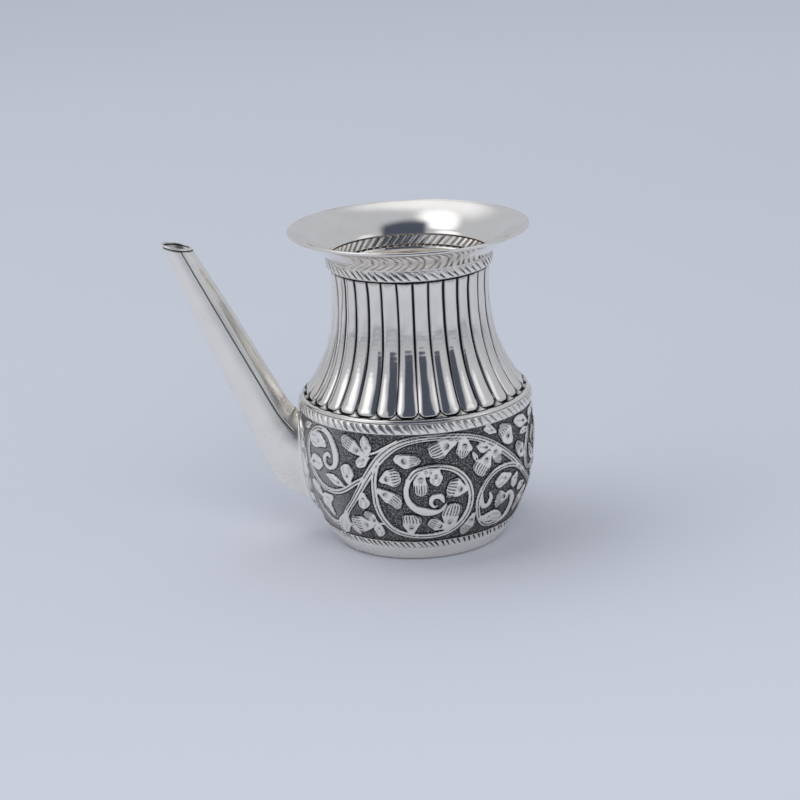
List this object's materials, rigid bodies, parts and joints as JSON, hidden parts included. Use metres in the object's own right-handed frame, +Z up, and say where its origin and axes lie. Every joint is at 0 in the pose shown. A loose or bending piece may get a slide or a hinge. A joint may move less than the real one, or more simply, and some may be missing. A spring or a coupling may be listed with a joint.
{
  "type": "spouted water pot",
  "caption": "Small open-mouthed silver pot with a round chased belly, reeded neck, flared rim and one long straight spout rising from low on its side.",
  "frame": {"origin": "centre of the flat underside, on the body's axis of turning", "axes": "+Z up along the body's axis, the spout points along -X, +Y across the pot"},
  "size_m": [0.1172, 0.077, 0.1029],
  "materials": {
    "polished_silver": "polished",
    "reeded_silver": "gloss",
    "chased_silver": "satin"
  },
  "bodies": {
    "root": {"base_cup": "polished_silver", "foot_rope_band": "chased_silver", "belly_shell": "chased_silver", "shoulder_rope_band": "chased_silver", "shoulder_bead": "polished_silver", "neck_shell": "reeded_silver", "neck_rope_band": "chased_silver", "mouth_flare": "polished_silver", "rim_wire": "polished_silver", "spout_tube": "polished_silver", "spout_lip_ring": "polished_silver", "spout_root_collar": "chased_silver"}
  },
  "joints": []
}
